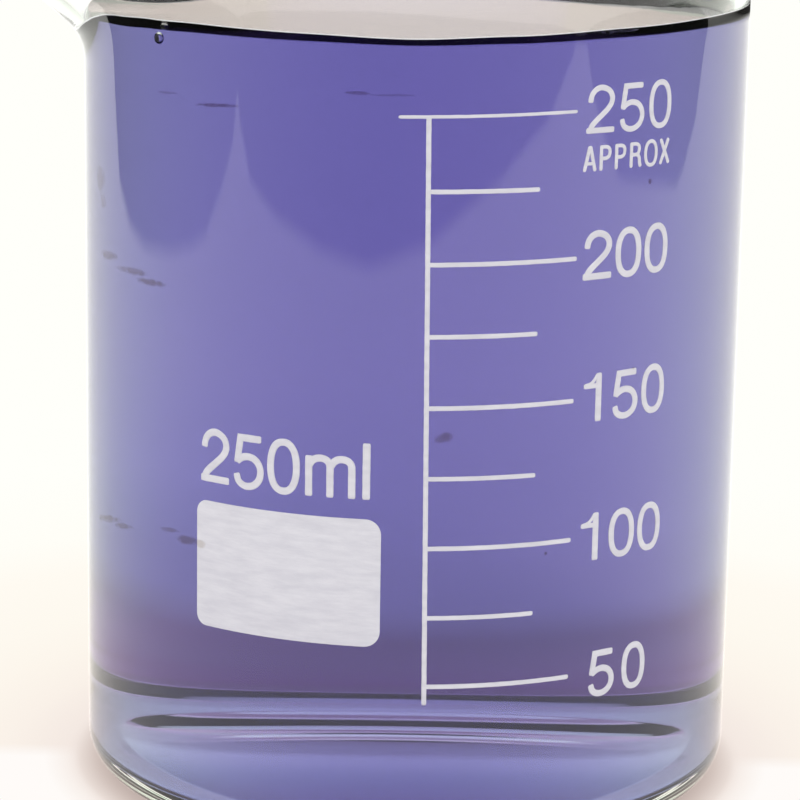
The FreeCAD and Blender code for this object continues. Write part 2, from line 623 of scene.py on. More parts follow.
@dataclass(frozen=True)
class ClearGlass:
    """Clear borosilicate glass, against air or against the liquid.

    Attributes:
        ior: How strongly it bends light, against what touches it.
        name: Name of the finish.
        marks: How strongly its smudges show.
        roughness: How hazy it is.
        passing: How much of the light it lets through.
        stain: Colour of its smudges.
    """

    ior: float = 1.474
    name: str = "clear_glass"
    marks: float = 0.85
    roughness: float = 0.0
    passing: float = 1.0
    stain: Paint = (0.20, 0.09, 0.11, 1.0)

    def material(self) -> bpy.types.Material:
        """Make the finish."""
        material, shader = new_material(self.name)
        wiring = Wiring(material.node_tree)
        mask = Smudges().mask(wiring, self.marks)
        colour = wiring.mix(mask, WHITE, self.stain)
        wiring.feed(shader.inputs["Base Color"], colour)
        shader.inputs["Roughness"].default_value = self.roughness
        shader.inputs["IOR"].default_value = self.ior
        shader.inputs["Transmission Weight"].default_value = self.passing
        let_light_through(material, shader)
        return material


@dataclass(frozen=True)
class VioletLiquid:
    """Water with a blue-violet dye."""

    ior: float = 1.335
    name: str = "violet_liquid"
    passing: tuple[str, ...] = SOFT_RAYS
    colour: Paint = (0.105, 0.045, 0.545, 1.0)
    density: float = 36.0

    def material(self) -> bpy.types.Material:
        """Make the finish."""
        material, shader = new_material(self.name)
        shader.inputs["Base Color"].default_value = WHITE
        shader.inputs["Roughness"].default_value = 0.0
        shader.inputs["IOR"].default_value = self.ior
        shader.inputs["Transmission Weight"].default_value = 1.0
        let_light_through(material, shader, self.passing)
        wiring = Wiring(material.node_tree)
        dye = wiring.add("ShaderNodeVolumeAbsorption")
        wiring.feed(dye.inputs["Color"], self.colour)
        wiring.feed(dye.inputs["Density"], self.density)
        output = material.node_tree.nodes["Material Output"]
        wiring.feed(output.inputs["Volume"], dye.outputs[0])
        return material


@dataclass(frozen=True)
class FiredEnamel:
    """White enamel that was printed and fired onto the wall: a little uneven and grainy."""

    body: Stops = ((0.34, (0.70, 0.685, 0.745)), (0.66, (0.80, 0.785, 0.835)))
    stain: Paint = (0.46, 0.40, 0.34, 1.0)
    marks: float = 0.6
    cloud: float = 260.0
    cloud_detail: float = 5.0
    cloud_roughness: float = 0.65
    brush: float = 5.0
    grain: float = 6000.0
    relief: float = 0.00001
    smooth: float = 0.38
    matt: float = 0.55

    def material(self) -> bpy.types.Material:
        """Make the finish."""
        material, shader = new_material("white_enamel")
        wiring = Wiring(material.node_tree)
        place = wiring.add("ShaderNodeTexCoord").outputs["Object"]
        drawn = wiring.add("ShaderNodeMapping")
        wiring.feed(drawn.inputs["Vector"], place)
        wiring.feed(drawn.inputs["Scale"], (1.0, 1.0, self.brush))
        cloud = wiring.add("ShaderNodeTexNoise")
        wiring.feed(cloud.inputs["Vector"], drawn.outputs[0])
        wiring.feed(cloud.inputs["Scale"], self.cloud)
        wiring.feed(cloud.inputs["Detail"], self.cloud_detail)
        wiring.feed(cloud.inputs["Roughness"], self.cloud_roughness)
        body = wiring.ramp(cloud.outputs["Fac"], self.body)
        mask = Smudges().mask(wiring, self.marks)
        wiring.feed(shader.inputs["Base Color"], wiring.mix(mask, body, self.stain))
        grain = wiring.add("ShaderNodeTexNoise")
        wiring.feed(grain.inputs["Vector"], place)
        wiring.feed(grain.inputs["Scale"], self.grain)
        rough = wiring.math(
            "MULTIPLY_ADD", cloud.outputs["Fac"], self.matt - self.smooth, self.smooth
        )
        wiring.feed(shader.inputs["Roughness"], rough)
        bump = wiring.add("ShaderNodeBump")
        wiring.feed(bump.inputs["Height"], grain.outputs["Fac"])
        wiring.feed(bump.inputs["Distance"], self.relief)
        wiring.feed(shader.inputs["Normal"], bump.outputs[0])
        return material


@dataclass(frozen=True)
class Tent:
    """The white tent that the beaker stands in, as the camera, glass and liquid show it.

    The table is bright inside the tent and carries a painted pinkish shadow close to the beaker,
    darker on one side.
    Beyond the tent's three openings, in front and at both sides, the room is dark. Each edge
    is given by an angle from the front towards +X, in degrees, and the distance of the
    opening there. Light that comes through the beaker is weaker from the tent's sides.
    """

    edges: tuple[Pair, ...] = (
        (-126, 1.40), (-125, 0.71), (-122, 0.54), (-118, 0.414), (-110, 0.362), (-101, 0.343),
        (-88, 0.343), (-78, 0.352), (-72, 0.368), (-66, 0.425), (-61.5, 0.498), (-60.4, 0.60),
        (-59, 0.523), (-55, 0.442), (-46, 0.401), (-30, 0.365), (-14, 0.349),
        (5, 0.374), (28, 0.454), (44, 0.544), (52, 0.66), (53.2, 0.70), (57.5, 0.70),
        (60, 0.597), (64, 0.520), (71, 0.445), (97, 0.428), (101, 0.449), (108, 0.526),
        (113, 0.68), (115, 0.73),
    )
    far: float = 1.5
    front_from: float = 0.036
    front_full: float = 0.040
    blur: float = 0.012
    bright: float = 1.4
    dark: float = 0.04
    span: float = 0.2
    seam: float = 0.004
    # Painted shadow round the foot as the camera sees the table: brown right at the foot, then a
    # pinkish haze that fades to white by 130 mm.
    seen_painted_shadow: Stops = (
        (0.030, (0.35, 0.27, 0.25)),
        (0.034, (0.62, 0.52, 0.48)),
        (0.037, (0.90, 0.81, 0.76)),
        (0.044, (0.955, 0.88, 0.81)),
        (0.052, (0.98, 0.92, 0.84)),
        (0.062, (0.99, 0.945, 0.865)),
        (0.080, (1.0, 0.96, 0.885)),
        (0.095, (1.0, 0.99, 0.93)),
        (0.130, (1.0, 1.0, 0.955)),
    )
    seen_in_front: Paint = (1.0, 0.965, 0.94, 1.0)
    # Painted shadow of the beaker on the table, as light through glass and liquid shows it: near
    # black under the foot, pinkish brown out to about 65 mm, then fading to white. This ramp is for
    # the -X side of the seam.
    painted_shadow_minus_x: Stops = (
        (0.000, (0.07, 0.05, 0.10)),
        (0.031, (0.09, 0.06, 0.11)),
        (0.036, (0.40, 0.27, 0.34)),
        (0.041, (0.53, 0.34, 0.44)),
        (0.047, (0.55, 0.43, 0.47)),
        (0.058, (0.54, 0.42, 0.46)),
        (0.064, (0.66, 0.62, 0.63)),
        (0.071, (0.79, 0.80, 0.78)),
        (0.085, (0.84, 0.85, 0.83)),
        (0.100, (0.91, 0.92, 0.91)),
        (0.130, (0.93, 0.94, 0.94)),
        (0.200, (1.0, 1.0, 1.0)),
    )
    # The same painted shadow on the +X side of the seam, darker out to 200 mm.
    painted_shadow_plus_x: Stops = (
        (0.000, (0.07, 0.05, 0.10)),
        (0.031, (0.09, 0.06, 0.11)),
        (0.036, (0.40, 0.27, 0.34)),
        (0.041, (0.56, 0.38, 0.47)),
        (0.047, (0.58, 0.46, 0.50)),
        (0.059, (0.50, 0.44, 0.47)),
        (0.066, (0.60, 0.60, 0.60)),
        (0.074, (0.67, 0.70, 0.73)),
        (0.092, (0.71, 0.75, 0.78)),
        (0.104, (0.76, 0.81, 0.84)),
        (0.130, (0.89, 0.92, 0.95)),
        (0.200, (0.98, 0.99, 0.99)),
    )
    through: Paint = (1.32, 1.29, 1.30, 1.0)
    sides: Stops = (
        (0, (1.0, 1.0, 1.0)),
        (8, (0.98, 1.0, 0.975)),
        (16, (0.935, 0.99, 0.92)),
        (25, (0.845, 0.93, 0.84)),
        (35, (0.77, 0.855, 0.755)),
        (45, (0.67, 0.74, 0.645)),
        (55, (0.58, 0.605, 0.54)),
        (65, (0.45, 0.465, 0.42)),
        (90, (0.38, 0.39, 0.35)),
    )
    low_wall: float = 0.13
    low_sides: Stops = (
        (0, (1.32, 1.20, 1.08)),
        (25, (1.23, 1.03, 1.02)),
        (35, (1.12, 0.93, 0.93)),
        (50, (0.86, 0.71, 0.71)),
        (62, (0.66, 0.54, 0.55)),
        (90, (0.55, 0.45, 0.45)),
    )
    walls: Stops = (
        (0.165, (1.14, 1.14, 1.04)),
        (0.342, (1.16, 1.20, 1.06)),
        (0.423, (1.55, 1.70, 1.42)),
        (0.500, (1.40, 1.54, 1.32)),
        (0.560, (1.20, 1.35, 1.20)),
        (0.643, (1.03, 1.15, 1.08)),
        (0.750, (1.0, 1.0, 1.0)),
    )

    @staticmethod
    def from_sides(wiring: Wiring, across: Socket, back: Socket, lights: Stops) -> Socket:
        """Look light up by how far to the side of straight behind it comes from.

        Args:
            wiring: The node tree.
            across: The place's or direction's X.
            back: Its Y.
            lights: Angles from straight behind, in degrees, and the light there.

        Returns:
            The light.
        """
        turn = wiring.math("ARCTAN2", wiring.math("ABSOLUTE", across), back)
        share = wiring.remap(turn, 0.0, math.pi / 2)
        stops = tuple((degrees / 90.0, light) for degrees, light in lights)
        return wiring.ramp(share, stops)

    def by_share(self, stops: Stops) -> Stops:
        """The stops with their distances as shares of the span."""
        return tuple((distance / self.span, shaded_light) for distance, shaded_light in stops)

    def near(self, wiring: Wiring, across: Socket, distance: Socket) -> Socket:
        """Work out the painted shadow on the table close to the beaker, as its light comes through
        it.

        Args:
            wiring: The node tree.
            across: The place's X.
            distance: Its distance from the beaker's axis, as a share of the span.

        Returns:
            The tint.
        """
        one = wiring.ramp(distance, self.by_share(self.painted_shadow_minus_x))
        other = wiring.ramp(distance, self.by_share(self.painted_shadow_plus_x))
        return wiring.mix(wiring.remap(across, -self.seam, self.seam), one, other)

    def ground(self, wiring: Wiring) -> tuple[Socket, ...]:
        """Work out the table's colours, with their painted shadows, and where the room beyond is
        dark.

        Args:
            wiring: The table's node tree.

        Returns:
            The colour that the camera sees, with a painted shadow round the foot, that of light
            which comes through the beaker, with a painted shadow close to it, and a share that is 1
            inside the tent and 0 beyond an opening.
        """
        place = wiring.add("ShaderNodeTexCoord").outputs["Object"]
        axes = wiring.add("ShaderNodeSeparateXYZ")
        wiring.feed(axes.inputs[0], place)
        across, back = axes.outputs[0], axes.outputs[1]
        distance = wiring.math("SQRT", wiring.squares(across, back))
        share = wiring.math("DIVIDE", distance, self.span)
        seen_painted_shadow = wiring.ramp(share, self.by_share(self.seen_painted_shadow))
        # In front of the beaker and clear of the foot, the painted shadow gives way to one even
        # colour.
        in_front = wiring.remap(back, 0.0, -self.seam)
        clear_of_foot = wiring.remap(distance, self.front_from, self.front_full)
        in_front = wiring.math("MULTIPLY", in_front, clear_of_foot)
        seen_painted_shadow = wiring.mix(in_front, seen_painted_shadow, self.seen_in_front)
        # Painted shadow close to the beaker, times the tent's light from the sides.
        shaded_light = wiring.mix(1.0, self.near(wiring, across, share),
                          self.from_sides(wiring, across, back, self.sides), "MULTIPLY")
        through = wiring.mix(1.0, shaded_light, self.through, "MULTIPLY")
        turn = wiring.math("ARCTAN2", across, wiring.math("MULTIPLY", back, -1.0))
        turn = wiring.remap(turn, -math.pi, math.pi)
        edges = tuple(
            ((angle + 180.0) / 360.0, (reach / self.far,) * 3) for angle, reach in self.edges
        )
        reach = wiring.math("MULTIPLY", wiring.ramp(turn, edges), self.far)
        inside = wiring.remap(wiring.math("SUBTRACT", reach, distance), -self.blur, self.blur)
        return seen_painted_shadow, through, inside

    def wall(self, wiring: Wiring) -> Socket:
        """Work out the tent's walls as light from them comes through the beaker.

        Args:
            wiring: The world's node tree.

        Returns:
            The walls' light.
        """
        way = wiring.add("ShaderNodeSeparateXYZ")
        wiring.feed(way.inputs[0], wiring.add("ShaderNodeTexCoord").outputs["Generated"])
        across, back, up = way.outputs
        high = wiring.mix(1.0, wiring.ramp(up, self.walls),
                          self.from_sides(wiring, across, back, self.sides), "MULTIPLY")
        low = self.from_sides(wiring, across, back, self.low_sides)
        return wiring.mix(wiring.math("LESS_THAN", up, self.low_wall), high, low)


@dataclass(frozen=True)
class TableTop:
    """The white table: white with a painted shadow round the foot to the camera, and the tent's
    floor, with a painted shadow close to the beaker, to glass and liquid.
    """

    colour: Paint = (0.86, 0.85, 0.84, 1.0)
    roughness: float = 0.6
    tent: Tent = Tent()

    def material(self) -> bpy.types.Material:
        """Make the finish."""
        material, shader = new_material("white_table")
        wiring = Wiring(material.node_tree)
        wiring.feed(shader.inputs["Base Color"], self.colour)
        wiring.feed(shader.inputs["Roughness"], self.roughness)
        seen_painted_shadow, through, inside = self.tent.ground(wiring)
        path = wiring.add("ShaderNodeLightPath")
        glossy, passing = path.outputs["Is Glossy Ray"], path.outputs["Is Transmission Ray"]
        mirrored = wiring.math("GREATER_THAN", glossy, passing)
        tent = wiring.math(
            "ADD", self.tent.dark, wiring.math("MULTIPLY", inside, self.tent.bright)
        )
        plain = wiring.math("SUBTRACT", 1.0, mirrored)
        strength = wiring.math("MULTIPLY_ADD", mirrored, tent, plain)
        # The table glows in place of being lit, for the camera and as seen in and through the
        # glass. Its glow carries the painted shadows.
        glow = wiring.add("ShaderNodeEmission")
        wiring.feed(glow.inputs["Color"], wiring.mix(passing, seen_painted_shadow, through))
        wiring.feed(glow.inputs["Strength"], strength)
        shown = wiring.math(
            "MAXIMUM", path.outputs["Is Camera Ray"], wiring.math("MAXIMUM", glossy, passing)
        )
        wiring.end_in(shown, shader.outputs[0], glow.outputs[0])
        return material


# The beaker


@dataclass(frozen=True)
class Meniscus:
    """How the liquid's surface meets the glass: it climbs a wall and dips under an overhang.

    The line where it meets the glass is a little uneven, as it is on glass that isn't quite
    clean: clings gives, for angles from the front towards -X in degrees, how far it is off.
    """

    level: float = 82.3
    capillary_length: float = 2.7
    contact_angle: float = math.radians(62.0)
    relaxation: float = 0.4
    rounds: int = 30
    edge_height: float = 0.45
    edge_more: float = 0.35
    edge_spout: float = 0.35
    edge_width: float = 0.8
    clings: tuple[Pair, ...] = (
        (-180.0, 0.15), (-140.0, 0.35), (-90.0, 0.60), (-78.0, 0.57), (-65.0, 0.64),
        (-37.0, 0.50), (-16.0, 0.17), (1.0, -0.11), (18.0, 0.09), (39.0, 0.16), (50.0, 0.0),
        (61.0, -0.27), (66.0, -0.37), (70.0, -0.55), (74.0, -0.70), (78.0, -0.68),
        (82.0, -0.60), (90.0, -0.65), (100.0, -0.60), (112.0, -0.30), (130.0, 0.0), (180.0, 0.15),
    )

    def rise(self, lean: float) -> float:
        """How far the edge of the surface stands above its level.

        Args:
            lean: How far the wall leans outwards, as an angle from upright.

        Returns:
            The rise, below zero where the edge dips.
        """
        slope = math.pi / 2 - lean - self.contact_angle
        height = self.capillary_length * math.sqrt(2 * (1 - math.cos(slope)))
        return math.copysign(height, slope)

    def cling(self, angle: float) -> float:
        """How far the contact line is off at an angle round the axis.

        Args:
            angle: The angle, from +X.

        Returns:
            The offset, in millimetres.
        """
        side = math.degrees(math.remainder(-math.pi / 2 - angle, TAU))
        for (start, first), (end, last) in zip(self.clings, self.clings[1:]):
            if start <= side <= end:
                share = (side - start) / (end - start)
                return first + (last - first) * share * share * (3 - 2 * share)
        return 0.0

    def contact(self, angle: float) -> float:
        """Height at which the surface meets the glass.

        Args:
            angle: Angle round the axis.

        Returns:
            The height, in millimetres.
        """
        height = self.level
        for _ in range(self.rounds):
            _point, normal = WALL.inner_point(angle, height, WALL.thickness)
            target = self.level + self.rise(math.asin(-normal.z))
            height += (target - height) * self.relaxation
        return height + self.cling(angle)

    def surface(self, angle: float, rise: float, inward: float) -> float:
        """Height of the surface at a distance from the glass.

        Args:
            angle: Angle round the axis; the edge is steeper at both sides.
            rise: How far the edge stands above the level here.
            inward: Distance from the glass.

        Returns:
            The height, in millimetres.
        """
        across = math.cos(angle)
        most = self.edge_height + self.edge_more * across ** 2
        most += self.edge_spout * max(0.0, -across) ** 2
        steep = most * max(-1.0, min(1.0, rise))
        edge = steep * max(0.0, 1 - inward / self.edge_width)
        return self.level + edge + (rise - steep) * math.exp(-inward / self.capillary_length)


@dataclass(frozen=True)
class ContactLine:
    """The height at which the liquid meets the glass, column by column of the lathe."""

    heights: tuple[float, ...]

    @classmethod
    def of(cls, meniscus: Meniscus, columns: int) -> "ContactLine":
        """Work the line out.

        Args:
            meniscus: The liquid's edge.
            columns: Columns of the lathe.

        Returns:
            The line.
        """
        return cls(tuple(meniscus.contact(TAU * column / columns) for column in range(columns)))

    def at(self, point: Vector) -> float:
        """The line's height over or under a point of a turned piece."""
        columns = len(self.heights)
        column = round(math.atan2(point.y, point.x) / TAU * columns) % columns
        return self.heights[column]


@dataclass
class BlownGlass:
    """The glass, one closed skin from the pushed-up underside over the rim to the floor."""

    heel_radius: float = 3.9
    foot_edge: tuple[Pair, ...] = ((-0.3, 0.045), (-0.08, 0.012), (0.08, 0.0), (0.3, 0.0))
    foot_flat: float = 0.4
    outer_rows: tuple[float, ...] = (5.3, 6.0, 8.0, 20.0, 40.0, 60.0, 72.0, 74.0)
    inner_rows: tuple[float, ...] = (7.1, 7.5, 9.0, 20.0, 40.0, 60.0, 72.0, 74.0)
    base_thickness: float = 2.8
    push_up_radius: float = 23.0
    push_up: float = 2.0
    inner_corner: float = 2.0
    floor_dome: float = 1.0
    bead_start: float = 1.36
    # A hazy, mostly white band just above the liquid is a painted highlight for the glint along the
    # meniscus.
    painted_glint: float = 0.16
    glint_haze: float = 0.35
    glint_clear: float = 0.25
    slack: float = 0.002
    arc_steps: int = 20
    dome_steps: int = 14
    top_steps: int = 26
    wet_steps: int = 16
    dry_steps: int = 20
    swell_steps: int = 5
    bead_steps: int = 14
    meniscus: Meniscus = field(default_factory=Meniscus)
    lathe: Lathe = field(default_factory=Lathe)

    @property
    def swell_from(self) -> float:
        """Height in the straight tube at which the wall starts to swell into the bead."""
        return WALL.edge_height - self.bead_start

    def underside(self) -> list[Pair]:
        """Outline of the base and the outer wall, from the axis up to the blown top.

        Returns:
            Radius and height of each point.
        """
        foot = WALL.body_radius - self.heel_radius
        points = dome(self.push_up_radius, 0.0, self.push_up, self.dome_steps)
        points += [(self.push_up_radius + out, height) for out, height in self.foot_edge]
        points.append((foot - self.foot_flat, 0.0))
        points += quarter((foot, self.heel_radius), self.heel_radius, -90.0, self.arc_steps)
        return points + [(WALL.body_radius, height) for height in self.outer_rows]

    def blown_top(self) -> list[Pair]:
        """Outline of the blown top in the straight tube: up the outside, over the bead and down."""
        edge = WALL.edge_height
        heights = between(WALL.blown_from, self.swell_from, self.top_steps)
        level = self.meniscus.level
        inner = between(WALL.blown_from, level, self.wet_steps)
        inner += between(level + self.painted_glint, self.swell_from, self.dry_steps)
        middle = WALL.body_radius - WALL.thickness / 2
        swell = []
        for share in between(0.0, 1.0, self.swell_steps)[1:-1]:
            eased = share * share * (3 - 2 * share)
            half = WALL.thickness / 2 + (WALL.bead_radius - WALL.thickness / 2) * eased
            swell.append((half, self.swell_from + share * self.bead_start))
        points = [(WALL.body_radius, height) for height in heights]
        points += [(middle + half, height) for half, height in swell]
        for step in range(2 * self.bead_steps + 1):
            turn = math.pi * step / (2 * self.bead_steps)
            points.append((
                middle + WALL.bead_radius * math.cos(turn),
                edge + WALL.bead_radius * math.sin(turn),
            ))
        points += [(middle - half, height) for half, height in reversed(swell)]
        points += [(WALL.bore_radius, height) for height in reversed(inner)]
        return points

    def inside(self) -> list[Pair]:
        """Outline of the bore and the floor, from the blown top down to the axis."""
        floor = WALL.bore_radius - self.inner_corner
        corner = (floor, self.base_thickness + self.inner_corner)
        points = [(WALL.bore_radius, height) for height in self.inner_rows[::-1]]
        points += quarter(corner, self.inner_corner, -90.0, self.arc_steps)[::-1]
        return points + dome(floor, self.base_thickness, self.floor_dome, self.dome_steps)[::-1]

    def shape(self, point: Vector, line: ContactLine) -> Vector:
        """Carry a point of the straight beaker to its place; the bore's rings follow the liquid.

        Args:
            point: A point of the turned beaker.
            line: Where the liquid meets the glass.

        Returns:
            The point, in millimetres.
        """
        in_bore = math.hypot(point.x, point.y) < WALL.bore_radius + self.slack
        if not in_bore or not WALL.blown_from < point.z <= self.swell_from + self.slack:
            return WALL.blow(point)
        level, contact = self.meniscus.level, line.at(point)
        angle = math.atan2(point.y, point.x)
        if point.z <= level + self.slack:
            share = (point.z - WALL.blown_from) / (level - WALL.blown_from)
            height = WALL.blown_from + share * (contact - WALL.blown_from)
        else:
            top = WALL.blow(Vector((point.x, point.y, self.swell_from))).z
            share = (point.z - level) / (self.swell_from - level)
            height = contact + share * (top - contact)
        return WALL.inner_point(angle, height, WALL.thickness)[0]

    def mark_wetted(self, piece: bpy.types.Object) -> None:
        """Give the faces that the liquid will touch, and the band of painted glint above them,
        their own finishes.

        Args:
            piece: The straight beaker, as it is turned.
        """
        level = self.meniscus.level * MM
        for polygon in piece.data.polygons:
            to_axis = -Vector((polygon.center.x, polygon.center.y, 0.0)).normalized()
            faces_in = polygon.normal.dot(to_axis) + polygon.normal.z > 0
            skin = Skin.DRY
            if faces_in and polygon.center.z < level:
                skin = Skin.WET
            elif faces_in and polygon.center.z < level + self.painted_glint * MM:
                skin = Skin.PAINTED_GLINT
            polygon.material_index = skin

    def build(self, line: ContactLine) -> bpy.types.Object:
        """Turn the glass, flare its rim and draw its spout.

        Args:
            line: Where the liquid meets the glass.

        Returns:
            The finished glass.
        """
        outline = self.underside() + self.blown_top() + self.inside()
        piece = self.lathe.turn("blown_glass", outline)
        self.mark_wetted(piece)
        for vertex in piece.data.vertices:
            vertex.co = self.shape(vertex.co / MM, line) * MM
        smooth(piece)
        dry = ClearGlass()
        wet = ClearGlass(dry.ior / VioletLiquid().ior, "clear_glass_wet")
        # Rough glass that lets little light through, so it shows white: the painted glint.
        painted_glint = ClearGlass(
            name="clear_glass_tide_mark", marks=0.0, roughness=self.glint_haze,
            passing=self.glint_clear,
        )
        mount_piece(piece, Slot.GLASS, dry.material(), wet.material(), painted_glint.material())
        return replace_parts(piece, "beaker_glass")


@dataclass
class Filling:
    """The liquid: it fills the bore and reaches into the root of the spout."""

    overlap: float = 0.03
    calm: float = 10.0
    rings: tuple[float, ...] = (
        -0.02, 0.0, 0.1, 0.3, 0.5, 0.7, 0.78, 0.86, 1.0, 1.3, 1.7, 2.3, 3.0, 4.0, 5.5, 7.5, 10.0,
    )
    calm_radii: tuple[float, ...] = (18.0, 12.0, 6.0, 0.0)
    skin_steps: int = 30
    crease: float = 0.03
    slack: float = 0.002
    meniscus: Meniscus = field(default_factory=Meniscus)
    lathe: Lathe = field(default_factory=Lathe)
    glass: BlownGlass = field(default_factory=BlownGlass)

    def outline(self) -> list[Pair]:
        """Outline in the straight tube, from the middle of the floor to that of the surface."""
        glass = self.glass
        floor = WALL.bore_radius - glass.inner_corner
        skin = WALL.bore_radius + self.overlap
        low = glass.base_thickness - self.overlap
        points = dome(floor, low, glass.floor_dome, glass.dome_steps)
        corner = (floor, glass.base_thickness + glass.inner_corner)
        points += quarter(corner, glass.inner_corner + self.overlap, -90.0, glass.arc_steps)
        points += [(skin, height) for height in glass.inner_rows[:-1]]
        points += [
            (skin, height)
            for height in between(WALL.blown_from, self.meniscus.level, self.skin_steps)
        ]
        points.insert(-1, (skin, self.meniscus.level - self.crease))
        points += [(WALL.bore_radius - inward, self.meniscus.level) for inward in self.rings]
        return points + [(radius, self.meniscus.level) for radius in self.calm_radii]

    def on_surface(self, angle: float, radius: float, contact: float) -> Vector:
        """A point of the surface, for one of the straight column.

        Args:
            angle: Angle round the axis.
            radius: Radius of the point in the straight column.
            contact: Height at which the surface meets the glass here.

        Returns:
            The point, in millimetres.
        """
        edge, _normal = WALL.inner_point(angle, contact, WALL.thickness)
        edge_radius = math.hypot(edge.x, edge.y)
        inward = WALL.bore_radius - radius
        if inward <= self.calm:
            placed = edge_radius - inward
        else:
            placed = (edge_radius - self.calm) * radius / (WALL.bore_radius - self.calm)
        height = self.meniscus.surface(angle, contact - self.meniscus.level, inward)
        return Vector((placed * math.cos(angle), placed * math.sin(angle), height))

    def settle(self, point: Vector, contact: float) -> Vector:
        """Carry a point of the straight column to its place in the beaker.

        Args:
            point: A point of the turned column.
            contact: Height at which the surface meets the glass at this angle.

        Returns:
            The point, in millimetres.
        """
        radius = math.hypot(point.x, point.y)
        angle = math.atan2(point.y, point.x)
        level = self.meniscus.level
        if radius < WALL.bore_radius + self.overlap - self.slack and point.z > level - self.slack:
            return self.on_surface(angle, radius, contact)
        if point.z <= WALL.blown_from:
            return point.copy()
        share = (point.z - WALL.blown_from) / (level - WALL.blown_from)
        height = WALL.blown_from + share * (contact - WALL.blown_from)
        return WALL.inner_point(angle, height, WALL.thickness - self.overlap)[0]

    def build(self, line: ContactLine) -> bpy.types.Object:
        """Turn the liquid and settle it against the glass.

        Args:
            line: Where the liquid meets the glass.

        Returns:
            The finished liquid.
        """
        piece = self.lathe.turn("violet_liquid", self.outline())
        surface = (self.meniscus.level - self.slack) * MM
        for polygon in piece.data.polygons:
            polygon.material_index = Skin.WET if polygon.center.z < surface else Skin.DRY
        for vertex in piece.data.vertices:
            point = vertex.co / MM
            vertex.co = self.settle(point, line.at(point)) * MM
        smooth(piece)
        liquid = VioletLiquid()
        everywhere = (*liquid.passing, "Is Glossy Ray", "Is Transmission Ray")
        wet = VioletLiquid(1.0, "violet_liquid_wet", everywhere)
        mount_piece(piece, Slot.LIQUID, liquid.material(), wet.material())
        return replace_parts(piece, "liquid")


@dataclass
class AirBubble:
    """The small bubble that clings to the inside of the wall, just under the surface.

    Its place is an arc along the outside of the wall, from the front towards +X, and a height.
    """

    arc: float = -29.8
    height: float = 81.85
    radius: float = 0.6
    squash: float = 0.25
    rings: int = 24
    segments: int = 32

    def build(self) -> bpy.types.Object:
        """Blow the bubble and press it against the wall.

        Returns:
            The finished bubble.
        """
        deselect()
        bpy.ops.mesh.primitive_uv_sphere_add(
            segments=self.segments, ring_count=self.rings, radius=self.radius, location=(0, 0, 0)
        )
        piece = name_new("air_bubble")
        angle = self.arc / WALL.body_radius - math.pi / 2
        wall, normal = WALL.inner_point(angle, self.height, WALL.thickness)
        turn = Vector((1, 0, 0)).rotation_difference(normal).to_matrix()
        pressed = self.radius * (1 - self.squash)
        middle = wall - normal * (pressed + Filling.overlap)
        for vertex in piece.data.vertices:
            if vertex.co.x > pressed:
                vertex.co.x = pressed
            vertex.co = (middle + turn @ vertex.co) * MM
        smooth(piece)
        air = ClearGlass(ior=1.0 / VioletLiquid().ior, name="trapped_air", marks=0.0)
        mount_piece(piece, Slot.LIQUID, air.material())
        return piece


# Print


def pen_curve(points: tuple[Pair, ...], spacing: float) -> list[Vector]:
    """Draw a smooth line through points; a point given twice is a sharp corner.

    Args:
        points: The points that the pen passes.
        spacing: Longest step between two places of the pen.

    Returns:
        The places of the pen, in order.
    """
    runs: list[list[Vector]] = [[]]
    for place in (Vector(point) for point in points):
        if runs[-1] and (place - runs[-1][-1]).length == 0.0:
            runs.append([])
        runs[-1].append(place)
    line = [runs[0][0]]
    for run in runs:
        ends = [2 * run[0] - run[1], *run, 2 * run[-1] - run[-2]]
        for before, start, end, after in zip(ends, ends[1:], ends[2:], ends[3:]):
            steps = max(1, math.ceil((end - start).length / spacing))
            for step in range(1, steps + 1):
                line.append(spline_point(before, start, end, after, step / steps))
    return line


def spline_point(before: Vector, start: Vector, end: Vector, after: Vector, share: float) -> Vector:
    """A point of the smooth line from start to end, led by its neighbours.

    Args:
        before: The point before the start.
        start: Where the run starts.
        end: Where the run ends.
        after: The point after the end.
        share: Place along the run, from 0 to 1.

    Returns:
        The point.
    """
    leave = (end - before) / 2
    arrive = (after - start) / 2
    square, cube = share ** 2, share ** 3
    return (
        start * (2 * cube - 3 * square + 1)
        + leave * (cube - 2 * square + share)
        + end * (3 * square - 2 * cube)
        + arrive * (cube - square)
    )


@dataclass(frozen=True)
class Mark:
    """One line of the pen: its points or, for a ring, its middle and its half sizes."""

    points: tuple[Pair, ...]
    width: float = 1.0
    ring: bool = False


@dataclass(frozen=True)
class Glyph:
    """A figure or letter in heights of a figure, drawn by one or more lines of the pen."""

    marks: tuple[Mark, ...]


